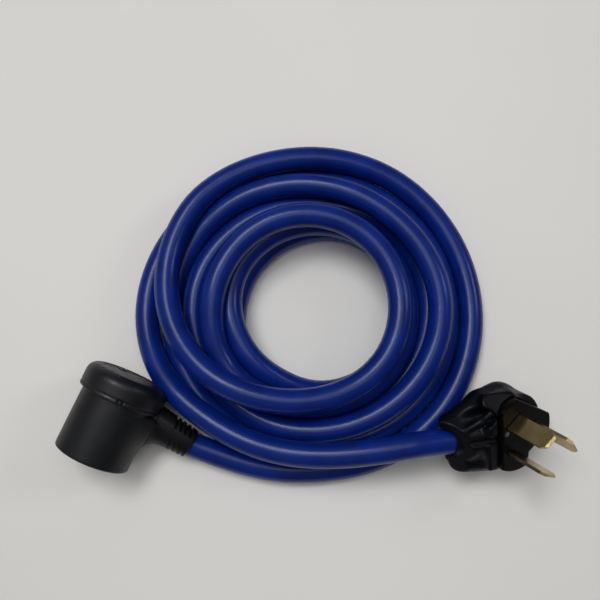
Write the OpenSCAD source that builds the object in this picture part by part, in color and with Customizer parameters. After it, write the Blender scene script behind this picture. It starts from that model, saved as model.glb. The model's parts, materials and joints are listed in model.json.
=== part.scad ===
// Shore power cord: a coiled three-wire power cord with a round elbow connector
// on one end and an angled three-blade plug on the other. Millimetres, +Z up.
// The origin is on the floor, midway across the connector and the plug.

/* [Cord] */
// Outer diameter of the jacketed cord
cord_d = 16; // [12:0.5:18]
// Diameter of one insulated wire inside the jacket
wire_d = 4; // [3:0.2:4]
// Inside radius of the coil
coil_in_r = 48; // [40:1:60]
// Outside radius of the coil
coil_out_r = 107; // [95:1:107]
// Height of the coil
coil_h = 40; // [32:1:48]

/* [Connector] */
// Diameter of the connector housing
body_d = 48; // [44:1:52]
// Length of the housing from its face to the seam
body_len = 40; // [38:1:46]
// Diameter of the rear cap
cap_d = 54; // [52:1:58]
// Length of the rear cap
cap_len = 16; // [13:1:20]
// Thickness of the moulded walls
wall = 3; // [2.4:0.2:3.4]
// Height of the side neck above the face
neck_z = 31; // [30:0.5:32]
// Outside diameter of the side neck
neck_d = 22; // [21:0.5:24]
// Reach of the strain relief from the connector's axis
boot_reach = 53; // [48:1:60]

/* [Plug] */
// Diameter of the plug's face plate
plate_d = 50; // [48:1:52]
// Thickness of the face plate
plate_t = 7; // [6:0.5:8]
// Depth of the rear shell behind the face plate
shell_h = 24; // [22:1:26]
// Radius of the circle that the blades stand on
blade_ring_r = 13; // [12:0.5:14]
// Width of a blade
blade_w = 12; // [10:0.5:12.5]
// Thickness of a blade
blade_t = 2; // [1.6:0.1:2.4]
// Length of a blade in front of the face
blade_len = 29; // [24:1:32]

/* [Hidden] */
$fn = 64;

// Clearance between pieces that slip together
gap = 0.15;
black_plastic = [0.06, 0.06, 0.07];
black_rubber = [0.04, 0.04, 0.045];
brass_colour = [0.83, 0.66, 0.32];
steel_colour = [0.7, 0.7, 0.72];
jacket_blue = [0.03, 0.12, 0.55];

// Where the connector lies: its face centre, its heading and its roll
connector_at = [-136, -24.5, 0];
connector_heading = -25;
connector_roll = 17;
// The cap is wider than the body, so the axis rises a little towards the cap
connector_pitch = atan((cap_d - body_d) / 2 / body_len);

// Where the plug lies: its face centre, the heading and rise of its blades, and its spin
plug_at = [131, -10.5, 35.3];
plug_heading = -41;
plug_rise = 52;
plug_spin = 48;
// Angular places of the neutral, hot x and hot y blades round the face
blade_turn = [128, 8, 248];

// Where the coil lies
coil_at = [2, 67.5, 0];

// Where the cord enters the plug, in the plug's own frame
entry_at = [-41, -5, -22];
entry_slant = 15;
// How far past the entry the jacket ends inside the plug
jacket_end = 24;
// Where the face screw stands, beside the neutral blade
face_screw_at = [-11.4, 2.6, 0];
// Bearings of the face plate's two flats and how far each is from the middle
plate_flats = [[187, 15.3], [62, 18.9]];
// Bearing and reach of the plate's notched side
plate_notch = [308, 17.4];

// Inside of the connector
cavity_r = body_d / 2 - wall;
insert_r = cavity_r + 0.8;
insert_h = 14;
lip_h = 2;
slot_w = blade_t + 0.6;
slot_len = blade_w + 0.8;
contact_h = 12;
screw_r = 1.5;
cap_end_t = 5;
cap_screw_r = 17;
// Angles of the two cap screws, clear of the contacts and the cord
cap_screw_turn = [112, 232];
boot_tail_d = cord_d + 3;
boot_start = 27;
jacket_x = 14.5;

// Route of the cord from the strain relief to the coil
lead_c_route = [[-110.2, -2.1, 22], [-94, -9.2, 16.6], [-76.5, -16.9, 10.8], [-73, -18.4, 9.6],
                [-67.5, -20.8, 8.5], [-61, -23.4, 8.2], [-55, -25.5, 8.2], [-49, -27.3, 8.2]];
// Route of the cord from the coil down into the plug
lead_p_route = [[48, -20.6, 38], [54, -19, 37.8], [60, -17.7, 37.2], [66, -16.8, 36.2],
                [72.8, -16.1, 34.9], [84.5, -14.9, 32.6], [96.2, -13.6, 30.2], [107.9, -12.4, 27.9]];

// ---------- shapes shared by several pieces ----------

// Puts the connector's own frame (+Z from the face to the cap, +X along the neck) in place
module place_connector() {
    translate([connector_at[0], connector_at[1], body_d / 2 * cos(connector_pitch)])
        rotate([0, 0, connector_heading])
            rotate([connector_pitch - 90, 0, 0])
                rotate([0, 0, connector_roll])
                    children();
}

// Puts the plug's own frame (+Z along the blades, -X towards the cord) in place
module place_plug() {
    translate(plug_at)
        rotate([0, 0, plug_heading])
            rotate([0, 90 - plug_rise, 0])
                rotate([0, 0, plug_spin])
                    children();
}

// A round bar along +X from x0 to x1 at height z
module bar_x(x0, x1, d, z = 0) {
    translate([x0, 0, z]) rotate([0, 90, 0]) cylinder(h = x1 - x0, d = d);
}

// One terminal or clamp screw with a domed slotted head, head end up
module screw(len, head_d = 6) {
    difference() {
        union() {
            cylinder(h = len + 0.5, r = screw_r, $fn = 24);
            translate([0, 0, len]) cylinder(h = 2.2, d = head_d, $fn = 32);
        }
        translate([-head_d, -0.5, len + 1.3]) cube([2 * head_d, 1, 2]);
    }
}

// A flat plate of the blade's section, standing on the blade circle
module blade_section(turn, w, t, z0, z1) {
    rotate([0, 0, turn])
        translate([blade_ring_r - t / 2, -w / 2, z0])
            cube([t, w, z1 - z0]);
}

// One blade with its chamfered tip and its narrow root
module blade(turn) {
    tip = 4;
    root_depth = plate_t + 9;
    color(brass_colour) rotate([0, 0, turn]) {
        translate([blade_ring_r - blade_t / 2, 0, 0]) rotate([90, 0, 90])
            linear_extrude(blade_t)
                polygon([[-blade_w / 2, -plate_t + 0.5], [blade_w / 2, -plate_t + 0.5],
                         [blade_w / 2, blade_len - tip], [blade_w / 2 - 2.5, blade_len],
                         [-blade_w / 2 + 2.5, blade_len], [-blade_w / 2, blade_len - tip]]);
        translate([blade_ring_r - blade_t / 2, -4, -root_depth])
            cube([blade_t, 8, root_depth - plate_t + 0.6]);
        translate([blade_ring_r - blade_t / 2 - 5, -4, -root_depth])
            cube([6, 8, 1.6]);
    }
}

// One spring contact: two leaves either side of a slot, joined by a floor with a screw tab
module contact(turn) {
    z0 = insert_h + 0.5;
    color(brass_colour) rotate([0, 0, turn]) difference() {
        union() {
            translate([blade_ring_r - 3, -5, z0]) cube([1, 10, contact_h]);
            translate([blade_ring_r + 2, -5, z0]) cube([1, 10, contact_h]);
            translate([blade_ring_r - 8, -5, z0 + contact_h - 1.4]) cube([11, 10, 1.4]);
        }
        translate([blade_ring_r - 5.5, 0, z0]) cylinder(h = contact_h + 2, r = screw_r + gap);
    }
}

// One round wire following a short list of points
module wire(points, tint) {
    color(tint) for (i = [0 : len(points) - 2])
        hull() {
            translate(points[i]) sphere(d = wire_d, $fn = 16);
            translate(points[i + 1]) sphere(d = wire_d, $fn = 16);
        }
}

// Direction of a route at point i, by its neighbours
function heading_at(route, i) =
    let (a = route[max(i - 1, 0)], b = route[min(i + 1, len(route) - 1)], d = b - a)
    d / norm(d);

// One ring of n points round a route point, square to the route
function ring_at(p, dir, r, n) =
    let (side = cross(dir, [0, 0, 1]), u = side / norm(side), v = cross(u, dir))
    [for (k = [0 : n - 1]) p + r * (cos(360 * k / n) * u + sin(360 * k / n) * v)];

// A round tube swept along a route as one closed polyhedron
module swept_tube(route, d, n = 12) {
    rings = [for (i = [0 : len(route) - 1])
             each ring_at(route[i], heading_at(route, i), d / 2, n)];
    last = (len(route) - 1) * n;
    sides = [for (i = [0 : len(route) - 2], k = [0 : n - 1])
             [i * n + k, i * n + (k + 1) % n, (i + 1) * n + (k + 1) % n, (i + 1) * n + k]];
    ends = [[for (k = [0 : n - 1]) n - 1 - k], [for (k = [0 : n - 1]) last + k]];
    polyhedron(points = rings, faces = concat(sides, ends));
}

// ---------- connector ----------

// Curved web that blends the neck into the housing, on the face side of the neck
module neck_web() {
    web_r = 8;
    translate([0, 5, neck_z - neck_d / 2]) rotate([90, 0, 0])
        linear_extrude(10) difference() {
            translate([body_d / 2 - 2, -web_r]) square([web_r + 2, web_r + 1]);
            translate([body_d / 2 + web_r, -web_r]) circle(r = web_r, $fn = 48);
        }
}

module connector_housing() {
    lip_d = body_d + 2;
    color(black_plastic) place_connector() difference() {
        union() {
            rotate_extrude() polygon([[0, 0], [body_d / 2 - 1, 0], [body_d / 2, 1],
                                      [body_d / 2, body_len - lip_h], [lip_d / 2, body_len - lip_h],
                                      [lip_d / 2, body_len], [0, body_len]]);
            bar_x(body_d / 2 - 4, 32, neck_d, neck_z);
            neck_web();
        }
        translate([0, 0, insert_h]) cylinder(h = body_len, r = cavity_r);
        translate([0, 0, -1]) cylinder(h = insert_h + 2, r = insert_r);
        bar_x(15, 40, cord_d + 2, neck_z);
    }
}

module connector_cap() {
    round_r = 5;
    outer_r = cap_d / 2;
    color(black_plastic) place_connector() difference() {
        translate([0, 0, body_len]) rotate_extrude() difference() {
            union() {
                square([outer_r - round_r, cap_len]);
                square([outer_r, cap_len - round_r]);
                translate([outer_r - round_r, cap_len - round_r]) circle(r = round_r);
                translate([0, -6]) square([cavity_r - gap, 7]);
            }
            translate([-outer_r, -20]) square([outer_r, 60]);
            translate([0, -7]) square([cavity_r - 2.2, 7 + cap_len - cap_end_t]);
            translate([cavity_r - 0.6, -1]) square([1.8, 2.2]);
        }
        bar_x(12, 40, neck_d + 1, neck_z);
        cap_screw_holes();
    }
}

// Counterbored holes for the two screws through the cap's flat end
module cap_screw_holes() {
    for (turn = cap_screw_turn) rotate([0, 0, turn])
        translate([cap_screw_r, 0, body_len + cap_len - cap_end_t - 1]) {
            cylinder(h = cap_end_t + 2, r = screw_r + gap, $fn = 24);
            translate([0, 0, cap_end_t - 1.5]) cylinder(h = 4, d = 6.4);
        }
}

module connector_cap_seal() {
    color(black_rubber) place_connector() translate([0, 0, body_len + 0.05])
        difference() {
            cylinder(h = 1, r = cavity_r + 1.1);
            translate([0, 0, -1]) cylinder(h = 3, r = cavity_r - 0.1);
            translate([0, 0, -body_len]) bar_x(12, 40, neck_d + 1, neck_z);
        }
}

module connector_face_insert() {
    color([0.1, 0.1, 0.11]) place_connector() difference() {
        cylinder(h = insert_h, r = insert_r - 0.05);
        for (turn = blade_turn)
            blade_section(180 - turn, slot_len, slot_w, -1, insert_h + 1);
        for (turn = cap_screw_turn) rotate([0, 0, turn])
            translate([cap_screw_r, 0, 4]) cylinder(h = insert_h, r = screw_r, $fn = 24);
    }
}

module contact_neutral() { place_connector() contact(180 - blade_turn[0]); }
module contact_hot_x() { place_connector() contact(180 - blade_turn[1]); }
module contact_hot_y() { place_connector() contact(180 - blade_turn[2]); }

module contact_terminal_screws() {
    color(steel_colour) place_connector() for (turn = blade_turn)
        rotate([0, 0, 180 - turn])
            translate([blade_ring_r - 5.5, 0, insert_h + contact_h - 2.55]) screw(3.1, 5.5);
}

// Two long screws that draw the cap and the face insert together
module connector_cap_screws() {
    head_z = body_len + cap_len - 2.4;
    color(steel_colour) place_connector() for (turn = cap_screw_turn) rotate([0, 0, turn])
        translate([cap_screw_r, 0, 5]) screw(head_z - 5, 6);
}

// A steel ring crimped on the end of the jacket, so the cord can't pull out of the neck
module connector_cord_ferrule() {
    color(steel_colour) place_connector() difference() {
        bar_x(jacket_x + 0.3, jacket_x + 3.3, cord_d + 2, neck_z);
        bar_x(jacket_x - 1, jacket_x + 5, cord_d + 0.4, neck_z);
    }
}

// Tapered rubber strain relief with four rings of slots at its tail
module connector_strain_relief() {
    ring_pitch = 3;
    groove = 1.1;
    color(black_rubber) place_connector() difference() {
        union() {
            bar_x(jacket_x + 3.5, boot_start + 5.1, cord_d + 1.7, neck_z);
            translate([boot_start + 5, 0, neck_z - 2]) rotate([0, 90, 0])
                cylinder(h = boot_reach - boot_start - 5, d1 = neck_d, d2 = boot_tail_d);
        }
        bar_x(10, boot_reach + 5, cord_d + 0.4, neck_z);
        for (i = [0 : 3]) translate([boot_reach - 3 - i * ring_pitch, 0, neck_z - 2])
            rotate([0, 90, 0]) for (half = [0, 180]) rotate([0, 0, half + 20 * (i % 2)])
                intersection() {
                    difference() {
                        cylinder(h = groove, r = 15);
                        translate([0, 0, -1]) cylinder(h = groove + 2, d = cord_d + 1.2);
                    }
                    translate([-15, 2, -1]) cube([30, 15, 5]);
                }
    }
}

// Wires from the cord's end to the screw tab of each contact
module connector_wire(turn, offset, tint) {
    tab_r = blade_ring_r - 5.5;
    place_connector() wire([[jacket_x - wire_d / 2 - 0.1, offset, neck_z + 2],
                            [tab_r * cos(180 - turn), tab_r * sin(180 - turn),
                             insert_h + contact_h + 5.2]], tint);
}
module connector_wire_neutral() { connector_wire(blade_turn[0], 4.6, "white"); }
module connector_wire_hot_x() { connector_wire(blade_turn[1], 0, "black"); }
module connector_wire_hot_y() { connector_wire(blade_turn[2], -4.6, "red"); }

// ---------- plug ----------

// Outline of the rear shell seen from the blades, grown outwards by grow
module shell_outline(grow) {
    offset(r = grow) hull() {
        translate([1, 0]) circle(d = plate_d - 2);
        translate([-18, -12]) circle(d = 22);
        translate([-18, 4]) circle(d = 20);
    }
}

// Strip of the outline that the cord's end of the shell grows out of
module shell_outline_end() {
    translate([-2, -4]) square([8, 34], center = true);
}

// The hump that the fingers hold, on the upper side of the shell
module shell_hump() {
    hull() {
        translate([-12, 16, -shell_h + 2]) sphere(r = 10, $fn = 32);
        translate([4, 20, -shell_h + 6]) sphere(r = 9, $fn = 32);
        translate([9, 15, -plate_t - 8]) sphere(r = 9, $fn = 32);
        translate([-8, 6, -plate_t - 9]) sphere(r = 9, $fn = 32);
    }
}

// Puts +Z along the cord where it enters the plug
module place_entry() {
    translate(entry_at) rotate([0, 90 - entry_slant, 0]) children();
}

// Solid of the rear shell, from the back to the seam at the face plate
module shell_body() {
    hull() {
        translate([0, 0, -plate_t - 12]) linear_extrude(12) shell_outline(2);
        translate([0, 0, -plate_t - shell_h]) linear_extrude(2) shell_outline(-7);
    }
    hull() {
        translate([-16, 0, -plate_t - 12]) linear_extrude(11.8) shell_outline_end();
        place_entry() translate([0, 0, -3]) linear_extrude(8) offset(r = 6)
            square([cord_d + 1, cord_d + 9], center = true);
    }
}

module plug_rear_shell() {
    boss_h = 6.5;
    color(black_plastic) place_plug() {
        difference() {
            union() {
                intersection() {
                    shell_hump();
                    translate([-60, -60, -60]) cube([120, 120, 60 - plate_t - 0.1]);
                }
                shell_body();
            }
            translate([0, 0, -plate_t - 18]) cylinder(h = 30, r = 17);
            place_entry() {
                translate([0, 0, -15]) cylinder(h = 43, d = cord_d + 2.4);
                translate([0, 0, -6]) cylinder(h = 8, d1 = cord_d + 14, d2 = cord_d + 2.4);
            }
        }
        translate(face_screw_at) translate([0, 0, -plate_t - boss_h]) difference() {
            translate([-7, -3, 0]) cube([9.6, 6, boss_h - 0.1]);
            translate([0, 0, 0.8]) cylinder(h = boss_h, r = screw_r, $fn = 24);
        }
    }
}

// What the face plate's flats and notch take away; inset moves every side inwards
module plate_sides(inset) {
    for (flat = plate_flats)
        rotate([0, 0, flat[0]]) translate([flat[1] - inset, -40, -20]) cube([40, 80, 40]);
    rotate([0, 0, plate_notch[0]]) translate([plate_notch[1] - inset, -2, -20]) cube([40, 42, 40]);
}

module plug_gasket() {
    seal_w = 1.6;
    color(black_rubber) place_plug() translate([0, 0, -plate_t + 0.02]) difference() {
        cylinder(h = 0.9, d = plate_d - 2);
        plate_sides(1);
        difference() {
            translate([0, 0, -1]) cylinder(h = 3, d = plate_d - 2 - 2 * seal_w);
            plate_sides(1 + seal_w);
        }
    }
}

module plug_face_plate() {
    color(black_plastic) place_plug() difference() {
        translate([0, 0, -plate_t + 1]) rotate_extrude()
            polygon([[0, 0], [plate_d / 2, 0], [plate_d / 2, plate_t - 2],
                     [plate_d / 2 - 1, plate_t - 1], [0, plate_t - 1]]);
        plate_sides(0);
        for (turn = blade_turn)
            blade_section(turn, blade_w + 0.2, blade_t + 0.2, -plate_t - 1, 1);
        translate(face_screw_at) {
            translate([0, 0, -plate_t]) cylinder(h = plate_t + 1, r = screw_r + gap, $fn = 24);
            translate([0, 0, -1.4]) cylinder(h = 3, d = 4);
        }
    }
}

module blade_neutral() { place_plug() blade(blade_turn[0]); }
module blade_hot_x() { place_plug() blade(blade_turn[1]); }
module blade_hot_y() { place_plug() blade(blade_turn[2]); }

module plug_terminal_screws() {
    color(steel_colour) place_plug() for (turn = blade_turn) rotate([0, 0, turn])
        translate([blade_ring_r - 4, 0, -plate_t - 7.35]) screw(1.2, 4.4);
}

// The recessed screw that holds the face plate to the shell
module plug_face_screw() {
    seat = 1.4;
    color(steel_colour) place_plug() translate(face_screw_at) {
        translate([0, 0, -plate_t - 5.6]) cylinder(h = plate_t + 5.6 - seat + 0.5, r = screw_r, $fn = 24);
        translate([0, 0, -seat]) cylinder(h = seat - 0.3, d1 = 3.8, d2 = 3.4, $fn = 32);
    }
}

// A steel ring crimped on the end of the jacket inside the plug
module plug_cord_ferrule() {
    color(steel_colour) place_plug() place_entry() translate([0, 0, jacket_end - 4])
        difference() {
            cylinder(h = 3.7, d = cord_d + 2);
            translate([0, 0, -1]) cylinder(h = 6, d = cord_d + 0.4);
        }
}

// Rubber ring that seals the cord where it enters the shell
module plug_cord_grommet() {
    color(black_rubber) place_plug() place_entry() translate([0, 0, 4]) difference() {
        cylinder(h = 9, d = cord_d + 2.2);
        translate([0, 0, -1]) cylinder(h = 11, d = cord_d + 0.4);
    }
}

// Wires from the cord's end to the root of each blade
function root_end(turn) = [9 * cos(turn), 9 * sin(turn), -plate_t - 11.4];
module plug_wire_neutral() {
    place_plug() wire([[-14.5, -1, -18], root_end(blade_turn[0])], "white");
}
module plug_wire_hot_x() {
    place_plug() wire([[-12.5, -5, -21.8], [1, -6.5, -22.7], root_end(blade_turn[1])], "black");
}
module plug_wire_hot_y() {
    place_plug() wire([[-14, -9, -17.5], root_end(blade_turn[2])], "red");
}

// ---------- cord ----------

module cord_lead_connector() { color(jacket_blue) swept_tube(lead_c_route, cord_d); }

module cord_lead_plug() { color(jacket_blue) swept_tube(lead_p_route, cord_d); }

// Outer shape of the whole coil
module cord_coil() {
    r = cord_d / 2;
    top_z = coil_h - r;
    color(jacket_blue) translate(coil_at) rotate_extrude($fn = 96) hull()
        for (p = [[coil_in_r + r, r], [coil_out_r - r, r],
                  [coil_in_r + r, top_z], [coil_out_r - 3 * r, top_z]])
            translate(p) circle(r = r, $fn = 24);
}

connector_housing();
connector_cap();
connector_cap_seal();
connector_face_insert();
contact_hot_x();
contact_hot_y();
contact_neutral();
contact_terminal_screws();
connector_cap_screws();
connector_cord_ferrule();
connector_strain_relief();
connector_wire_hot_x();
connector_wire_hot_y();
connector_wire_neutral();
plug_rear_shell();
plug_face_plate();
plug_gasket();
blade_hot_x();
blade_hot_y();
blade_neutral();
plug_terminal_screws();
plug_face_screw();
plug_cord_ferrule();
plug_cord_grommet();
plug_wire_hot_x();
plug_wire_hot_y();
plug_wire_neutral();
cord_lead_connector();
cord_coil();
cord_lead_plug();
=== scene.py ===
"""Looks for the shore power cord: a moulded connector, a coiled blue cord and a three-blade plug.

Shapes are worked out in millimetres, and become metres where a mesh, a curve or the camera is made.
The connector and the plug are distance fields in their own frames, which come from the CAD's mounts.
"""

import json
import math

import bmesh
import bpy
import numpy as np
import openvdb
from mathutils import Matrix, Vector


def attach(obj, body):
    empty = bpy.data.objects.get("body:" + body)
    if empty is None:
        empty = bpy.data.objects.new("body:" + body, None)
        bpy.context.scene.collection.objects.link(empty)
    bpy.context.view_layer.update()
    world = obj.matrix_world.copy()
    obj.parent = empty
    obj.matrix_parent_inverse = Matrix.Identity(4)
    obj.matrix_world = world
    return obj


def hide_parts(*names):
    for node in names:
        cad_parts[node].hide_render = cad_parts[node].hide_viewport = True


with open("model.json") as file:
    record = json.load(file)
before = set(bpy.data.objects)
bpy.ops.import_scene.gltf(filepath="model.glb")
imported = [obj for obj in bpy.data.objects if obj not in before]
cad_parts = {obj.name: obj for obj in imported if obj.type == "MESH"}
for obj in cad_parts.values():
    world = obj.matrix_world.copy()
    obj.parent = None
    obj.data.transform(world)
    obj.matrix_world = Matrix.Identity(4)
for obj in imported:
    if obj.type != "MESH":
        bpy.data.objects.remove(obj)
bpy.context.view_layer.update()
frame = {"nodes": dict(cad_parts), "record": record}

MM = 0.001
ROOT = "root"

# ---------------------------------------------------------------- camera, floor and light

CAMERA_ELEVATION = 79.0
CAMERA_DISTANCE = 430.0
CAMERA_TARGET = np.array([-5.0, 80.5, 0.0])
CAMERA_FOCAL = 36.9
SENSOR_WIDTH = 36.0
# Name, place, aim, size, watts and colour of each panel of light, in metres.
LIGHTS = [
    ("window", (-0.50, 0.62, 1.75), (0.0, 0.08, 0.0), (0.85, 0.55), 14.6, (1.0, 0.995, 0.98)),
    ("ceiling", (0.0, 0.12, 0.78), (0.0, 0.10, 0.0), (0.50, 0.40), 1.1, (1.0, 1.0, 1.0)),
    ("side_window", (1.15, 0.45, 0.95), (0.0, 0.08, 0.0), (0.30, 0.45), 2.2, (1.0, 1.0, 1.0)),
]
# The room's own light is strongest from one side of the ceiling and weak from the walls.
ROOM_BRIGHT_SIDE = (-0.36, 0.06, 0.93)
ROOM_FACING = (0.1, 0.95)
ROOM_STRENGTH = (0.07, 0.30)
ROOM_COLOUR = (1.0, 0.99, 0.97, 1.0)
FLOOR_REACH = 3.0


def make_camera():
    """The photograph's view: nearly straight down, from the side of the leads."""
    tilt = math.radians(CAMERA_ELEVATION)
    forward = np.array([0.0, math.cos(tilt), -math.sin(tilt)])
    data = bpy.data.cameras.new("camera")
    data.sensor_width = SENSOR_WIDTH
    data.lens = CAMERA_FOCAL
    data.clip_start = 0.01
    camera = bpy.data.objects.new("camera", data)
    camera.location = (CAMERA_TARGET - CAMERA_DISTANCE * forward) * MM
    camera.rotation_euler = Vector(forward).to_track_quat("-Z", "Y").to_euler()
    bpy.context.collection.objects.link(camera)
    bpy.context.scene.camera = camera


def area_light(name, place, aim, size, power, colour):
    """A rectangular panel of light that faces its aim."""
    data = bpy.data.lights.new(name, "AREA")
    data.shape = "RECTANGLE"
    data.size, data.size_y = size
    data.energy = power
    data.color = colour
    light = bpy.data.objects.new(name, data)
    light.location = place
    light.rotation_euler = (Vector(aim) - Vector(place)).to_track_quat("-Z", "Y").to_euler()
    bpy.context.collection.objects.link(light)


def set_range(node, source, target):
    """Makes a Map Range node carry the source range onto the target range."""
    for socket, value in zip(("From Min", "From Max", "To Min", "To Max"), (*source, *target)):
        node.inputs[socket].default_value = value


def make_lights():
    """The panels of light, in a room that is dim at the walls and bright overhead."""
    for light in LIGHTS:
        area_light(*light)
    world = bpy.data.worlds.new("room")
    world.use_nodes = True
    tree = world.node_tree
    direction = tree.nodes.new("ShaderNodeTexCoord")
    facing = tree.nodes.new("ShaderNodeVectorMath")
    facing.operation = "DOT_PRODUCT"
    facing.inputs[1].default_value = ROOM_BRIGHT_SIDE
    strength = tree.nodes.new("ShaderNodeMapRange")
    set_range(strength, ROOM_FACING, ROOM_STRENGTH)
    background = tree.nodes["Background"]
    background.inputs["Color"].default_value = ROOM_COLOUR
    tree.links.new(direction.outputs["Generated"], facing.inputs[0])
    tree.links.new(facing.outputs["Value"], strength.inputs["Value"])
    tree.links.new(strength.outputs["Result"], background.inputs["Strength"])
    bpy.context.scene.world = world
    bpy.context.scene.view_settings.view_transform = "Standard"


def make_floor(material):
    """A level square to lie on, which is no part of the object."""
    corners = [(FLOOR_REACH * x, FLOOR_REACH * y, 0) for x, y in ((-1, -1), (1, -1), (1, 1), (-1, 1))]
    mesh = bpy.data.meshes.new("floor")
    mesh.from_pydata(corners, [], [(0, 1, 2, 3)])
    mesh.materials.append(material)
    floor = bpy.data.objects.new("floor", mesh)
    bpy.context.collection.objects.link(floor)


# ---------------------------------------------------------------- materials


class Shader:
    """A Principled material with a few helpers for its procedural nodes."""

    def __init__(self, name, colour, roughness, metallic=0.0, specular=0.5, coat=0.0, coat_rough=0.1):
        self.material = bpy.data.materials.new(name)
        self.material.use_nodes = True
        self.tree = self.material.node_tree
        self.bsdf = self.tree.nodes["Principled BSDF"]
        self.set("Base Color", (*colour, 1.0))
        self.set("Roughness", roughness)
        self.set("Metallic", metallic)
        self.set("Specular IOR Level", specular)
        self.set("Coat Weight", coat)
        self.set("Coat Roughness", coat_rough)
        self.place = self.node("ShaderNodeTexCoord").outputs["Object"]

    def node(self, kind):
        return self.tree.nodes.new(kind)

    def set(self, socket, value):
        self.bsdf.inputs[socket].default_value = value

    def link(self, source, target):
        self.tree.links.new(source, target)

    def noise(self, scale, detail=3.0):
        """Noise in object space; scale is cycles per metre."""
        noise = self.node("ShaderNodeTexNoise")
        noise.inputs["Scale"].default_value = scale
        noise.inputs["Detail"].default_value = detail
        noise.inputs["Roughness"].default_value = 0.55
        self.link(self.place, noise.inputs["Vector"])
        return noise.outputs["Fac"]

    def spread(self, source, low, high, start=0.3, end=0.7):
        """Maps a 0 to 1 value from start..end onto low..high."""
        ramp = self.node("ShaderNodeMapRange")
        set_range(ramp, (start, end), (low, high))
        self.link(source, ramp.inputs["Value"])
        return ramp.outputs["Result"]

    def mottle(self, factor, first, second):
        """Lets a 0 to 1 value choose between two base colours."""
        blend = self.node("ShaderNodeMix")
        blend.data_type = "RGBA"
        self.link(factor, blend.inputs["Factor"])
        blend.inputs[6].default_value = (*first, 1.0)
        blend.inputs[7].default_value = (*second, 1.0)
        self.to(blend.outputs[2], "Base Color")

    def bump(self, height, strength, distance):
        """Adds one layer of relief to those already there; distance is in metres."""
        bump = self.node("ShaderNodeBump")
        bump.inputs["Strength"].default_value = strength
        bump.inputs["Distance"].default_value = distance
        self.link(height, bump.inputs["Height"])
        old = self.bsdf.inputs["Normal"].links
        if old:
            self.link(old[0].from_socket, bump.inputs["Normal"])
        self.link(bump.outputs["Normal"], self.bsdf.inputs["Normal"])

    def to(self, output, socket):
        self.link(output, self.bsdf.inputs[socket])


def floor_material():
    """Pale matt board, a little uneven."""
    shader = Shader("pale_floor", (0.80, 0.79, 0.77), 0.9, specular=0.1)
    shader.mottle(shader.spread(shader.noise(3.0), 0, 1), (0.785, 0.777, 0.762), (0.82, 0.812, 0.797))
    shader.bump(shader.noise(900.0), 0.05, 0.0002)
    return shader.material


def jacket_material():
    """Royal blue jacket with a waxy coat, patches of deeper and lighter blue, and slight waviness."""
    deep = (0.0010, 0.0106, 0.132)
    light = (0.0022, 0.0195, 0.205)
    shader = Shader("cord_jacket_blue", deep, 0.32, specular=0.19, coat=0.18, coat_rough=0.16)
    shader.set("Specular Tint", (0.78, 0.92, 1.0, 1.0))
    shader.mottle(shader.spread(shader.noise(45.0, detail=5.0), 0, 1), deep, light)
    shader.to(shader.spread(shader.noise(140.0, detail=5.0), 0.28, 0.40), "Roughness")
    shader.bump(shader.noise(70.0, detail=2.0), 0.22, 0.0012)
    shader.bump(shader.noise(420.0, detail=4.0), 0.08, 0.0004)
    shader.bump(shader.noise(2600.0, detail=2.0), 0.06, 0.0001)
    return shader.material


def moulded_black(name, colour, roughness, grain=0.12, specular=0.3):
    """Black moulded plastic or rubber with a fine moulded grain and uneven, handled gloss."""
    shader = Shader(name, colour, roughness, specular=specular)
    lighter = tuple(c * 1.5 + 0.0008 for c in colour)
    shader.mottle(shader.spread(shader.noise(70.0, detail=4.0), 0, 1), colour, lighter)
    gloss = shader.spread(shader.noise(220.0, detail=5.0), roughness * 0.88, roughness * 1.18)
    shader.to(gloss, "Roughness")
    shader.bump(shader.noise(5200.0, detail=2.0), grain, 0.00012)
    shader.bump(shader.noise(160.0), 0.08, 0.0006)
    return shader.material


def metal(name, colour, roughness):
    """Worked metal with fine marks and a slight tarnish."""
    shader = Shader(name, colour, roughness, metallic=1.0)
    dull = tuple(c * 0.72 for c in colour)
    shader.mottle(shader.spread(shader.noise(160.0, detail=5.0), 0, 1, 0.35, 0.75), colour, dull)
    shader.to(shader.spread(shader.noise(260.0), roughness * 0.85, roughness * 1.3), "Roughness")
    shader.bump(shader.noise(300.0), 0.04, 0.0002)
    return shader.material


def wire_skin(name, colour):
    """Soft glossy insulation on an inner wire."""
    shader = Shader(name, colour, 0.4, specular=0.45)
    shader.mottle(shader.spread(shader.noise(260.0), 0, 1), colour, tuple(c * 0.8 for c in colour))
    shader.bump(shader.noise(1500.0), 0.08, 0.0001)
    return shader.material


# ---------------------------------------------------------------- the cord

CORD_D = 16.0
# Distance between the cord's points
STEP = 6.0
# Points that stay where the leads put them, at the connector's end and at the plug's end
HELD_START = 5
HELD_END = 8
COIL_CENTRE = (2.0, 67.5)
# The rows below start at this bearing, and the coil takes over from the lead a little later, in degrees.
FIRST_BEARING = 225
BEARING_STEP = 45
COIL_START = 246
# How far the last turn runs on past its last bearing, and the spacing of the planned points, in degrees
COIL_OVERRUN = 10
COIL_SPACING = 6.0
EVENING_ROUNDS = 25
EVENING_SHARE = 0.5
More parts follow.
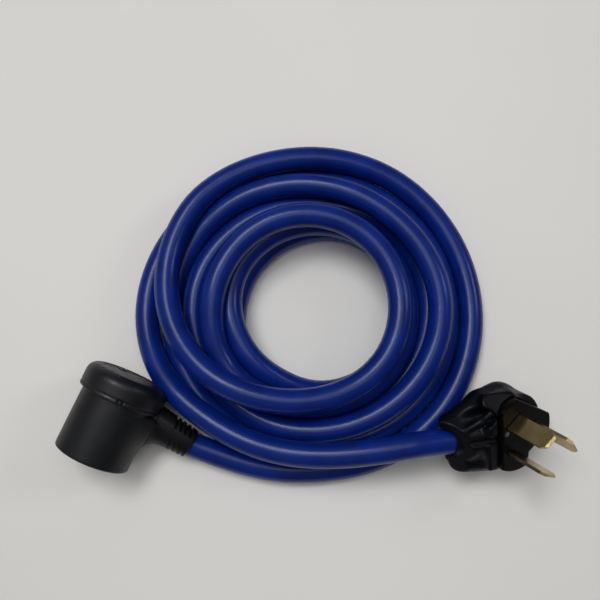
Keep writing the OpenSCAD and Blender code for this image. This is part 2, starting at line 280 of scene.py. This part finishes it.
# Radius and height of each turn, one turn to a row, given at eight bearings.
TURN_RADII = [
    [114, 100, 107, 109, 112, 109, 108, 94],
    [72, 60, 60, 60, 63, 65, 66, 64],
    [69, 64, 66, 66, 68, 64, 61, 59],
    [55, 57, 61, 70, 72, 64, 58, 55],
    [60, 72, 77, 83, 85, 80, 84, 82],
    [79, 78, 82, 87, 85, 88, 95, 96],
    [93, 87, 92, 96, 101, 104, 111, 113],
    [96, 92],
]
TURN_HEIGHTS = [
    [8, 8, 8, 8, 10, 20, 26, 32],
    [41, 40, 40, 40, 38, 38, 36, 34],
    [25, 24, 24, 24, 24, 24, 22, 20],
    [24, 10, 8, 8, 8, 8, 8, 8],
    [8, 8, 8, 14, 18, 18, 18, 16],
    [12, 22, 26, 32, 32, 28, 20, 8],
    [8, 8, 8, 8, 8, 8, 8, 8],
    [24, 34],
]
# The two leads repeat part.scad's routes.
CONNECTOR_LEAD = [
    (-94.0, -9.2, 16.6), (-76.5, -16.9, 10.8), (-73.0, -18.4, 9.6), (-67.5, -20.8, 8.5),
    (-61.0, -23.4, 8.2), (-55.0, -25.5, 8.2), (-49.0, -27.3, 8.2),
]
PLUG_LEAD = [
    (48.0, -20.6, 38.0), (54.0, -19.0, 37.8), (60.0, -17.7, 37.2), (66.0, -16.8, 36.2),
    (72.8, -16.1, 34.9), (84.5, -14.9, 32.6), (96.2, -13.6, 30.2), (107.9, -12.4, 27.9),
]
# How the turns settle: the distance kept between them, the rounds, and how many of the last ones have
# only contact and stiffness in them
CLEAR = 1.0125 * CORD_D
SETTLE_ROUNDS = 500
FREE_ROUNDS = 60
# In each round: the share of the way back to the plan, the drop, and how firmly the cord keeps its bend
PLAN_PULL = (0.05, 0.05, 0.03)
DROP = (0.0, 0.0, 0.03)
STIFFNESS = 0.45
# Contact: passes in a round, the share of an overlap that a pass clears, and rounds between searches
CONTACT_PASSES = 3
CONTACT_SHARE = 0.3
SEARCH_EVERY = 20
SEARCH_REACH = 1.6 * CORD_D
# Points nearer than this along the cord are neighbours, not turns that touch.
NEIGHBOUR_STEPS = int(2.4 * CORD_D / STEP)


def through(places, values, wanted):
    """A smooth curve through values at places, read at the wanted places."""
    places = np.asarray(places, float)
    values = np.asarray(values, float)
    slope = np.gradient(values, places, axis=0)
    k = np.clip(np.searchsorted(places, wanted) - 1, 0, len(places) - 2)
    width = places[k + 1] - places[k]
    t = (wanted - places[k]) / width
    if values.ndim > 1:
        width, t = width[:, None], t[:, None]
    return ((2 * t**3 - 3 * t**2 + 1) * values[k] + (t**3 - 2 * t**2 + t) * width * slope[k]
            + (3 * t**2 - 2 * t**3) * values[k + 1] + (t**3 - t**2) * width * slope[k + 1])


def resampled(points, step):
    """The same route with its points step apart."""
    along = np.r_[0, np.cumsum(np.linalg.norm(np.diff(points, axis=0), axis=1))]
    return through(along, points, np.linspace(0, along[-1], int(round(along[-1] / step)) + 1))


def sag(points):
    """How far each point is from the middle of its neighbours, which is its bend."""
    bend = np.zeros_like(points)
    bend[1:-1] = (points[:-2] + points[2:]) / 2 - points[1:-1]
    return bend


def coil_turns():
    """The coil's planned points, read off smooth curves through the listed turns."""
    radii = [value for row in TURN_RADII for value in row]
    heights = [value for row in TURN_HEIGHTS for value in row]
    bearings = FIRST_BEARING + BEARING_STEP * np.arange(len(radii))
    around = np.arange(COIL_START, bearings[-1] + COIL_OVERRUN, COIL_SPACING)
    read = np.minimum(around, bearings[-1])
    radius = through(bearings, radii, read)
    height = through(bearings, heights, read)
    angle = np.radians(around)
    return np.stack([COIL_CENTRE[0] + radius * np.cos(angle),
                     COIL_CENTRE[1] + radius * np.sin(angle), height], axis=1)


def planned_route():
    """The two leads and the coil's turns between them, evened out where they join."""
    route = resampled(np.vstack([CONNECTOR_LEAD, coil_turns(), PLUG_LEAD]), STEP)
    loose = loose_points(len(route))
    for _ in range(EVENING_ROUNDS):
        route += EVENING_SHARE * sag(route) * loose
    return resampled(route, STEP)


def loose_points(count):
    """Which points may move: all but the few that each end holds."""
    loose = np.ones((count, 1), bool)
    loose[:HELD_START] = False
    loose[-HELD_END:] = False
    return loose


def push_apart(points, one, other, loose):
    """Moves the pairs of points that overlap away from each other, and none below the floor."""
    apart = points[one] - points[other]
    gap = np.linalg.norm(apart, axis=1)
    touching = gap < CLEAR
    push = CONTACT_SHARE * ((CLEAR - gap) / gap)[:, None] * apart * touching[:, None]
    for axis in range(3):
        moved = (np.bincount(one, push[:, axis], len(points))
                 - np.bincount(other, push[:, axis], len(points)))
        points[:, axis] += moved * loose[:, 0]
    points[:, 2] = np.maximum(points[:, 2], CORD_D / 2)


def settled(plan):
    """Lets the planned turns lie on each other: they keep their bend, push apart and stay on the floor."""
    points = plan.copy()
    loose = loose_points(len(plan))
    natural_bend = sag(plan)
    first, second = np.triu_indices(len(plan), NEIGHBOUR_STEPS)
    for settling in range(SETTLE_ROUNDS):
        if settling % SEARCH_EVERY == 0:
            close = ((points[first] - points[second])**2).sum(axis=1) < SEARCH_REACH**2
            one, other = first[close], second[close]
        if settling < SETTLE_ROUNDS - FREE_ROUNDS:
            points += loose * (plan - points) * PLAN_PULL
            points -= loose * DROP
        points += loose * STIFFNESS * (sag(points) - natural_bend)
        for _ in range(CONTACT_PASSES):
            push_apart(points, one, other, loose)
    return points


def make_cord(material):
    """One closed tube along the settled route, and that route's length in metres."""
    route = settled(planned_route())
    data = bpy.data.curves.new("cord", "CURVE")
    data.dimensions = "3D"
    data.bevel_depth = CORD_D / 2 * MM
    data.bevel_resolution = 8
    spline = data.splines.new("POLY")
    spline.points.add(len(route) - 1)
    spline.points.foreach_set("co", np.c_[route * MM, np.ones(len(route))].ravel())
    spline.use_smooth = True
    data.use_fill_caps = True
    data.materials.append(material)
    cord = bpy.data.objects.new("cord", data)
    bpy.context.collection.objects.link(cord)
    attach(cord, ROOT)
    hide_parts("cord_lead_connector", "cord_coil", "cord_lead_plug")
    length = np.linalg.norm(np.diff(route, axis=0), axis=1).sum() * MM
    return cord, length


# ---------------------------------------------------------------- shapes made from distance fields


# Distances past this many millimetres don't matter to a surface.
BAND = 3.0


def polar(radius, bearing):
    """The local X and Y of a place on a circle about the Z axis."""
    angle = math.radians(bearing)
    return radius * math.cos(angle), radius * math.sin(angle)


class Field:
    """A block of space, in millimetres in a local frame, that distance functions are worked out on."""

    def __init__(self, low, high, cell):
        self.low = np.asarray(low, float)
        self.cell = cell
        counts = np.ceil((np.asarray(high, float) - self.low) / cell).astype(int) + 1
        axes = [self.low[i] + cell * np.arange(counts[i]) for i in range(3)]
        self.x, self.y, self.z = (part.astype(np.float32) for part in np.meshgrid(*axes, indexing="ij"))

    def past(self, point):
        """How far along each axis the field's places are from a point."""
        return self.x - point[0], self.y - point[1], self.z - point[2]

    def ball(self, centre, radii):
        """A ball, or an egg when radii has three values."""
        rx, ry, rz = np.broadcast_to(radii, 3)
        px, py, pz = self.past(centre)
        size = np.sqrt((px / rx)**2 + (py / ry)**2 + (pz / rz)**2)
        return (size - 1) * min(rx, ry, rz)

    def rod(self, start, end, start_r, end_r=None):
        """A round-ended rod, which tapers when its two radii differ."""
        end_r = start_r if end_r is None else end_r
        d = np.subtract(end, start, dtype=float)
        px, py, pz = self.past(start)
        t = np.clip((px * d[0] + py * d[1] + pz * d[2]) / (d @ d), 0, 1)
        away = np.sqrt((px - t * d[0])**2 + (py - t * d[1])**2 + (pz - t * d[2])**2)
        return away - (start_r + (end_r - start_r) * t)

    def drum(self, radius, low, high, edge=0.0):
        """A cylinder about the local Z axis, with rounded edges."""
        across = np.hypot(self.x, self.y) - radius + edge
        along = np.abs(self.z - (low + high) / 2) - (high - low) / 2 + edge
        return outside(across, along) - edge

    def barrel(self, start, end, radius, edge=0.0, end_radius=None):
        """A flat-ended cylinder or cone between two points, with rounded edges."""
        d = np.subtract(end, start, dtype=float)
        length = np.linalg.norm(d)
        d = d / length
        px, py, pz = self.past(start)
        t = px * d[0] + py * d[1] + pz * d[2]
        end_radius = radius if end_radius is None else end_radius
        wide = radius + (end_radius - radius) * np.clip(t / length, 0, 1)
        across = np.sqrt(np.maximum(px * px + py * py + pz * pz - t * t, 0)) - wide + edge
        return outside(across, np.abs(t - length / 2) - length / 2 + edge) - edge

    def block(self, centre, half, turn=0.0, edge=0.0):
        """A rounded box, turned about the local Z axis."""
        c, s = polar(1, turn)
        px, py, pz = self.past(centre)
        qx = np.abs(c * px + s * py) - half[0] + edge
        qy = np.abs(c * py - s * px) - half[1] + edge
        return outside(outside(qx, qy), np.abs(pz) - half[2] + edge) - edge

    def beyond(self, turn, reach):
        """Everything further than reach from the Z axis, towards one bearing."""
        c, s = polar(1, turn)
        return reach - (c * self.x + s * self.y)

    def slope(self, normal, offset):
        """The side of a sloping plane that its normal points away from."""
        nx, ny, nz = normal
        return (nx * self.x + ny * self.y + nz * self.z + offset) / np.linalg.norm(normal)

    def piece(self, name, distance, place, material, slot, nodes):
        """Turns a distance field into a smooth mesh, placed by the CAD's local frame."""
        grid = openvdb.FloatGrid(BAND)
        grid.copyFromArray(np.clip(distance, -BAND, BAND).astype(np.float32))
        points, quads = grid.convertToQuads(isovalue=0.0)
        points = points.astype(float) * self.cell + self.low
        points = points @ np.array(place.to_3x3()).T * MM + np.array(place.translation)
        mesh = bpy.data.meshes.new(name)
        mesh.from_pydata(points.tolist(), [], quads.tolist())
        if signed_volume(mesh) < 0:
            mesh.flip_normals()
        return add_piece(name, mesh, material, nodes)


def outside(a, b):
    """The distance round a corner where two distances meet."""
    return np.minimum(np.maximum(a, b), 0) + np.hypot(np.maximum(a, 0), np.maximum(b, 0))


def join(a, b, blend=0.0):
    """Union, with a fillet that starts within blend of the corner."""
    if blend <= 0:
        return np.minimum(a, b)
    h = np.maximum(blend - np.abs(a - b), 0) / blend
    return np.minimum(a, b) - h * h * blend / 4


def cut(a, b, blend=0.0):
    """a with b taken away, with its edge eased over blend."""
    return -join(-a, b, blend)


def signed_volume(mesh):
    """Negative when a closed mesh is inside out."""
    work = bmesh.new()
    work.from_mesh(mesh)
    volume = work.calc_volume(signed=True)
    work.free()
    return volume


def add_piece(name, mesh, material, nodes):
    """Puts a finished mesh in the scene as a piece that stands for CAD nodes."""
    for face in mesh.polygons:
        face.use_smooth = True
    mesh.materials.append(material)
    piece = bpy.data.objects.new(name, mesh)
    bpy.context.collection.objects.link(piece)
    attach(piece, ROOT)
    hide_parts(*nodes)
    return piece


def placed_mesh(name, work, place):
    """A mesh from bmesh work in local millimetres, put where its frame is, in metres."""
    work.transform(Matrix.Diagonal((MM, MM, MM, 1)))
    work.transform(place)
    mesh = bpy.data.meshes.new(name)
    work.to_mesh(mesh)
    work.free()
    return mesh


def local_frame(mount_name, roll, facing=1):
    """A CAD mount's own frame: Z along its axis and X turned by roll from the level direction across it."""
    mount = next(m for m in frame["record"]["mounts"] if m["name"] == mount_name)
    normal = Vector(mount["axis"]).normalized() * facing
    level = Vector((normal.y, -normal.x, 0)).normalized()
    angle = math.radians(roll)
    across = level * math.cos(angle) + normal.cross(level) * math.sin(angle)
    place = Matrix((across, normal.cross(across), normal)).transposed().to_4x4()
    place.translation = Vector(mount["pos_m"])
    return place


# ---------------------------------------------------------------- the connector

# In its own frame the open face is at Z 0, the cap is at the top and the boot leaves towards X.
# The body, the cap and the boot's reach repeat part.scad's sizes.
CONNECTOR_ROLL = 17.0
BODY_R = 24.0
BODY_LENGTH = 40.0
BODY_EDGE = 1.3
# The body reaches this far into the cap.
BODY_SPIGOT = 5.0
# The seat of the slotted insert in the open face
SEAT_R = 21.9
SEAT_DEPTH = 14.0
NECK_START = (8.0, 0.0, 35.8)
NECK_MIDDLE = (25.5, 0.0, 34.9)
NECK_R = 11.6
NECK_FILLET = 14.0
# The body's moulding ends and the boot begins at this X, with a hairline between them.
NECK_SEAM = 25.6
HALF_HAIRLINE = 0.1
BOOT_START = (22.5, 0.0, 35.3)
BOOT_END = (53.0, 0.0, 31.0)
BOOT_R = 9.5
BOOT_SLOTS = [39.0, 42.6, 46.2, 49.8]
BOOT_SLOT_HALF = 0.8
BOOT_SLOT_DEPTH = 1.5
# No slot comes nearer to the cord's axis than this.
BOOT_SLOT_FLOOR = 8.45
# The solid spine between the slots: half its height, and how far it stands above the boot's axis
SPINE_HALF = 3.4
SPINE_RISE = 1.2
CAP_R = 27.0
CAP_LENGTH = 16.0
CAP_TOP = BODY_LENGTH + CAP_LENGTH
CAP_SHOULDER = 6.5
CAP_RIM_EDGE = 0.7
# The line round the cap, above its rim
LIP_RISE = 2.6
LIP_R = 0.5
# The shallow hollow in the cap's end: its curve, its depth and the width of the rim round it
DISH_CURVE = 400.0
DISH_DEPTH = 1.1
DISH_RIM = 8.0
# The snap tab shows as a latch in a small window: half sizes and heights above the rim
TAB_BEARING = 271.0
WINDOW_HALF = (1.2, 2.0, 2.1)
WINDOW_RISE = 1.2
LATCH_HALF = (0.8, 1.0, 1.3)
LATCH_RISE = 1.4
# The opening that the neck leaves the cap's rim through
NECK_OPENING_END = (45.0, 0.0, 32.5)
NECK_CLEARANCE = 0.4
CAP_SCREW_BEARINGS = (112.0, 232.0)
CAP_SCREW_RING_R = 17.0
CAP_WELL_R = 3.2
CAP_WELL_DEPTH = 4.0


def neck_run(f):
    """The body, the neck and the boot as one run, with a fillet on the side away from the cap."""
    body = f.drum(BODY_R, 0, BODY_LENGTH + BODY_SPIGOT, BODY_EDGE)
    neck = f.barrel(NECK_START, NECK_MIDDLE, NECK_R, 0.5)
    boot = f.barrel(BOOT_START, BOOT_END, NECK_R, 0.5, BOOT_R)
    branch = join(neck, boot, 0.5)
    cap_side = BODY_LENGTH - 0.4 - f.z
    fillet = cut(join(body, branch, NECK_FILLET), cap_side, 7)
    return join(join(body, branch), fillet)


def connector_housing(place, material):
    """The round moulding with its open face and the filleted neck."""
    f = Field((-26, -26, -2), (30, 26, 51), 0.5)
    shape = np.maximum(neck_run(f), f.x - NECK_SEAM + HALF_HAIRLINE)
    shape = cut(shape, f.drum(SEAT_R, -5, SEAT_DEPTH))
    return f.piece("connector_body", shape, place, material, "connector_black", ["connector_housing"])


def with_tab(f, cap):
    """The cap with the snap tab's window and the latch that stands in it."""
    window = f.block((*polar(CAP_R, TAB_BEARING), BODY_LENGTH + WINDOW_RISE), WINDOW_HALF, TAB_BEARING, 0.6)
    latch_at = (*polar(CAP_R - LATCH_HALF[0], TAB_BEARING), BODY_LENGTH + LATCH_RISE)
    latch = f.block(latch_at, LATCH_HALF, TAB_BEARING, 0.5)
    return join(cut(cap, window, 0.3), latch, 0.2)


def connector_cap(place, material):
    """The cap with its rounded end, the lip line, the snap tab and the screw wells."""
    f = Field((-29, -29, 38), (29, 29, 58), 0.45)
    rim = f.drum(CAP_R, BODY_LENGTH, CAP_TOP, CAP_RIM_EDGE)
    shoulder = f.drum(CAP_R, 20, CAP_TOP, CAP_SHOULDER)
    shape = np.maximum(rim, shoulder)
    from_axis = np.hypot(f.x, f.y)
    lip = np.hypot(from_axis - CAP_R - 0.15, f.z - BODY_LENGTH - LIP_RISE) - LIP_R
    shape = cut(shape, lip, 0.4)
    dish = f.ball((0, 0, CAP_TOP + DISH_CURVE - DISH_DEPTH), DISH_CURVE)
    shape = cut(shape, np.maximum(dish, from_axis - CAP_R + DISH_RIM), 1.0)
    shape = with_tab(f, shape)
    shape = cut(shape, f.barrel(NECK_START, NECK_OPENING_END, NECK_R + NECK_CLEARANCE), 0.4)
    for bearing in CAP_SCREW_BEARINGS:
        x, y = polar(CAP_SCREW_RING_R, bearing)
        well = f.barrel((x, y, CAP_TOP - CAP_WELL_DEPTH), (x, y, CAP_TOP + 4), CAP_WELL_R)
        shape = cut(shape, well, 0.2)
    return f.piece("connector_cap_moulding", shape, place, material, "connector_black", ["connector_cap"])


def connector_boot(place, material):
    """The tapered strain relief: ring slots on both sides of two solid spines."""
    f = Field((24, -19, 12), (56, 19, 48), 0.3)
    shape = np.maximum(neck_run(f), NECK_SEAM + HALF_HAIRLINE - f.x)
    along = (f.x - BOOT_START[0]) / (BOOT_END[0] - BOOT_START[0])
    off_axis = f.z - BOOT_START[2] - (BOOT_END[2] - BOOT_START[2]) * along
    skin = np.hypot(f.y, off_axis) - NECK_R - (BOOT_R - NECK_R) * along
    wall = BOOT_SLOT_FLOOR - np.hypot(f.y, f.z - BOOT_END[2])
    deep = np.maximum(-BOOT_SLOT_DEPTH - skin, wall)
    spine = SPINE_HALF - np.abs(off_axis - SPINE_RISE)
    for x in BOOT_SLOTS:
        slot = outside(np.abs(f.x - x) - BOOT_SLOT_HALF, deep)
        shape = cut(shape, np.maximum(slot, spine), 0.4)
    cord_hole = f.barrel((30, 0, BOOT_END[2]), (60, 0, BOOT_END[2]), CORD_D / 2 - 0.15)
    shape = cut(shape, cord_hole)
    return f.piece("connector_boot", shape, place, material, "boot_rubber", ["connector_strain_relief"])


# ---------------------------------------------------------------- the plug

# In its own frame the face is at Z 0, the blades stand up and the cord comes in from -X.
# The blades, the flats and the notch repeat part.scad's sizes.
PLUG_ROLL = 138.0
PLATE_R = 25.2
PLATE_T = 7.0
PLATE_EDGE = 0.8
SHELL_R = 23.6
SHELL_BACK = -28.8
# The grip's front, a little behind the plate
SHELL_FRONT = -PLATE_T - 0.3
MOUTH = (-48.5, -4.2, -22.5)
BLADE_BEARINGS = {"blade_neutral": 128.0, "blade_hot_x": 8.0, "blade_hot_y": 248.0}
BLADE_TWIST = {"blade_neutral": 0.0, "blade_hot_x": 28.0, "blade_hot_y": 0.0}
BLADE_RING_R = 13.0
BLADE_W = 12.0
BLADE_T = 2.0
BLADE_LENGTH = 29.0
# Height of each outline of a blade, and how far its width and its thickness are drawn in there
BLADE_OUTLINES = [
    (-PLATE_T, 0.0, 0.0),
    (BLADE_LENGTH - 4, 0.0, 0.0),
    (BLADE_LENGTH - 1.5, 1.6, 0.0),
    (BLADE_LENGTH, 2.6, 0.8),
]
BLADE_BEVEL = 0.13
SLIT_CLEARANCE = 0.35
FACE_SCREW = (-11.4, 2.6)
FACE_WELL_R = 2.0
FACE_WELL_DEPTH = 1.4
PLATE_FLATS = [(187.0, 15.3), (62.0, 18.9)]
NOTCH_BEARING = 308.0
NOTCH_REACH = 17.4


def plate_outline(f, inset=0.0):
    """The face plate's plan: a disc with flats towards the cord and the grip, and one notched side."""
    shape = np.hypot(f.x, f.y) - PLATE_R + inset
    for bearing, reach in PLATE_FLATS:
        shape = cut(shape, f.beyond(bearing, reach - inset), 0.7)
    c, s = polar(1, NOTCH_BEARING)
    deep = f.beyond(NOTCH_BEARING, NOTCH_REACH - inset)
    side = -(-s * f.x + c * f.y) - 2.0 - 0.8 * (c * f.x + s * f.y - NOTCH_REACH)
    return cut(shape, np.maximum(deep, side), 1.5)


def plug_face(place, material):
    """The plate with its rounded rim, a slit for each blade and the well of the face screw."""
    f = Field((-28, -28, -8.5), (28, 28, 1.5), 0.4)
    thickness = np.abs(f.z + PLATE_T / 2) - PLATE_T / 2 + 0.1
    shape = outside(plate_outline(f) + PLATE_EDGE, thickness + PLATE_EDGE) - PLATE_EDGE
    slit_half = (BLADE_T / 2 + SLIT_CLEARANCE, BLADE_W / 2 + SLIT_CLEARANCE, 9)
    for node, bearing in BLADE_BEARINGS.items():
        slit = f.block((*polar(BLADE_RING_R, bearing), -3), slit_half, bearing + BLADE_TWIST[node], 0.3)
        shape = cut(shape, slit, 0.4)
    well = f.barrel((*FACE_SCREW, -FACE_WELL_DEPTH), (*FACE_SCREW, 3), FACE_WELL_R)
    shape = cut(shape, well, 0.4)
    return f.piece("plug_face_moulding", shape, place, material, "plug_face_black", ["plug_face_plate"])


def plug_seal(place, material):
    """The gasket that shows as a line between the plate and the grip."""
    f = Field((-27, -27, -9), (27, 27, -5), 0.4)
    shape = outside(plate_outline(f, 1.0), np.abs(f.z + PLATE_T) - 0.8)
    return f.piece("plug_seal", shape, place, material, "seal_rubber", ["plug_gasket"])


def grip_mass(f):
    """The grip's full forms: back shell, cord tunnel with its foot and collar, humped spine and brow."""
    shell = np.maximum(f.drum(SHELL_R, SHELL_BACK, SHELL_FRONT + 6, 5.0), f.z - SHELL_FRONT)
    tunnel = f.barrel(MOUTH, (-17, -3.5, -17), 13.6, 1.5, 14.5)
    foot = f.rod((-33, -18.8, -17), (-10, -20.0, -13), 6.3, 8)
    collar = f.block((-19.6, -1.5, -9), (4.0, 20.5, 7.0), 7.0, 2.5)
    spine = join(f.rod((-4, 17.0, -17), (-17, 15.5, -19), 11.5, 9.5),
                 f.rod((-17, 15.5, -19), (-40, 2.0, -23), 9.0, 8.5), 3)
    brow = f.rod((-19, 21, -9), (-6, 22, -9), 6.5, 5.5)
    low_forms = join(shell, join(join(tunnel, foot, 3), collar, 3), 4)
    return join(low_forms, join(spine, brow, 3), 4)


def carved_grip(f, shape):
    """The grip with the brow's facet, the finger scoop and groove, and the raised rib between them."""
    brow_facet = f.slope((0.25, -0.60, -0.76), 13.278)
    shape = cut(shape, brow_facet, 1.0)
    scoop = f.ball((-32, 14.0, -6.5), (14, 6.8, 9.5))
    shape = cut(shape, scoop, 1.8)
    rib = join(f.rod((-18, 15.5, -8.0), (-26, 10.5, -9.0), 2.3, 2.3),
               f.rod((-26, 10.5, -9.0), (-36, 5.5, -11.5), 2.3, 1.8), 2)
    shape = join(shape, rib, 1.4)
    groove = f.rod((-34, -1.0, -6.5), (-17, 0.0, -1.5), 2.0)
    return cut(shape, groove, 2.0)


def opened_grip(f, shape):
    """The grip with its slanted two-plane mouth, the bore of the cord, and the pocket of the plate."""
    upper_mouth = f.slope((1, 0.25, -0.67), 29.3)
    lower_mouth = f.slope((1, 0.30, 1.07), 68.5)
    shape = cut(cut(shape, upper_mouth, 1.0), lower_mouth, 1.0)
    bore = f.barrel((-60, MOUTH[1] - 0.5, MOUTH[2] - 0.5), (-30, -4.8, -21.5), 10.8, 0, 8.4)
    shape = cut(shape, bore, 1.2)
    pocket = np.maximum(plate_outline(f, -0.5), SHELL_FRONT - f.z)
    shape = cut(shape, pocket, 0.5)
    lid = f.z + 0.8 + 0.13 * np.clip(12 - f.y, 0, 12)
    return np.maximum(shape, lid)


def plug_shell(place, material):
    """The rear shell of the plug, shaped for the fingers round the cord's tunnel."""
    f = Field((-53, -31, -38), (28, 36, 1), 0.5)
    shape = opened_grip(f, carved_grip(f, grip_mass(f)))
    return f.piece("plug_grip", shape, place, material, "plug_black", ["plug_rear_shell"])


def plug_blade(node, bearing, place, material):
    """A flat blade with cut corners, a chamfered tip and thin bevels along its edges."""
    work = bmesh.new()
    loops = []
    for z, width_inset, thickness_inset in BLADE_OUTLINES:
        w = BLADE_W / 2 - width_inset
        t = BLADE_T / 2 - thickness_inset
        loops.append([work.verts.new((x, y, z)) for x, y in ((-t, -w), (t, -w), (t, w), (-t, w))])
    for low, high in zip(loops, loops[1:]):
        for i in range(4):
            j = (i + 1) % 4
            work.faces.new((low[i], low[j], high[j], high[i]))
    work.faces.new(reversed(loops[0]))
    work.faces.new(loops[-1])
    bmesh.ops.recalc_face_normals(work, faces=work.faces)
    sharp_edges = [e for e in work.edges if e.calc_face_angle(0) > 0.6]
    bmesh.ops.bevel(work, geom=sharp_edges, offset=BLADE_BEVEL, segments=2, affect="EDGES")
    work.transform(Matrix.Rotation(math.radians(BLADE_TWIST[node]), 4, "Z"))
    work.transform(Matrix.Translation((BLADE_RING_R, 0, 0)))
    work.transform(Matrix.Rotation(math.radians(bearing), 4, "Z"))
    mesh = placed_mesh(node + "_blade", work, place)
    piece = add_piece(node + "_blade", mesh, material, [node])
    mesh.set_sharp_from_angle(angle=math.radians(20))
    return piece


# ---------------------------------------------------------------- build

make_camera()
make_lights()
make_floor(floor_material())

connector_plastic = moulded_black("connector_black", (0.0032, 0.0037, 0.0054), 0.42, specular=0.34)
boot_rubber = moulded_black("boot_rubber", (0.0030, 0.0031, 0.0044), 0.42, specular=0.22)
plug_plastic = moulded_black("plug_black", (0.0013, 0.0016, 0.0032), 0.36, 0.05, 0.14)
plug_face_plastic = moulded_black("plug_face_black", (0.0012, 0.0012, 0.0014), 0.28, 0.05, 0.07)
seal_rubber = moulded_black("seal_rubber", (0.010, 0.010, 0.010), 0.6)
insert_plastic = moulded_black("insert_black", (0.016, 0.016, 0.018), 0.38)
brass = metal("blade_brass", (0.53, 0.405, 0.195), 0.21)
contact_brass = metal("contact_brass", (0.72, 0.52, 0.24), 0.34)
steel = metal("screw_steel", (0.62, 0.62, 0.64), 0.30)
black_steel = metal("cap_screw_steel", (0.05, 0.05, 0.055), 0.45)
dull_steel = metal("face_screw_steel", (0.20, 0.19, 0.175), 0.42)

cord, cord_length = make_cord(jacket_material())

connector_place = local_frame("connector_face", CONNECTOR_ROLL, -1)
connector_housing(connector_place, connector_plastic)
connector_cap(connector_place, connector_plastic)
connector_boot(connector_place, boot_rubber)

plug_place = local_frame("plug_blades", PLUG_ROLL)
plug_pieces = [
    plug_shell(plug_place, plug_plastic),
    plug_face(plug_place, plug_face_plastic),
    plug_seal(plug_place, seal_rubber),
]
for node, bearing in BLADE_BEARINGS.items():
    plug_pieces.append(plug_blade(node, bearing, plug_place, brass))

# The CAD's own solids that are kept, and what each is made of
NODE_LOOKS = {
    "connector_face_insert": insert_plastic,
    "connector_cap_seal": seal_rubber,
    "contact_hot_x": contact_brass,
    "contact_hot_y": contact_brass,
    "contact_neutral": contact_brass,
    "contact_terminal_screws": steel,
    "connector_cap_screws": black_steel,
    "connector_cord_ferrule": steel,
    "plug_terminal_screws": steel,
    "plug_face_screw": dull_steel,
    "plug_cord_ferrule": steel,
    "plug_cord_grommet": plug_plastic,
}
WIRE_COLOURS = {
    "hot_x": (0.012, 0.012, 0.012),
    "hot_y": (0.35, 0.015, 0.012),
    "neutral": (0.62, 0.61, 0.58),
}
for line, colour in WIRE_COLOURS.items():
    for end in ("connector", "plug"):
        NODE_LOOKS[f"{end}_wire_{line}"] = wire_skin(f"{end}_wire_{line}", colour)
for node, material in NODE_LOOKS.items():
    mesh = frame["nodes"][node].data
    mesh.materials.clear()
    mesh.materials.append(material)

plug_pieces += [frame["nodes"][node] for node in NODE_LOOKS if node.startswith("plug_")]
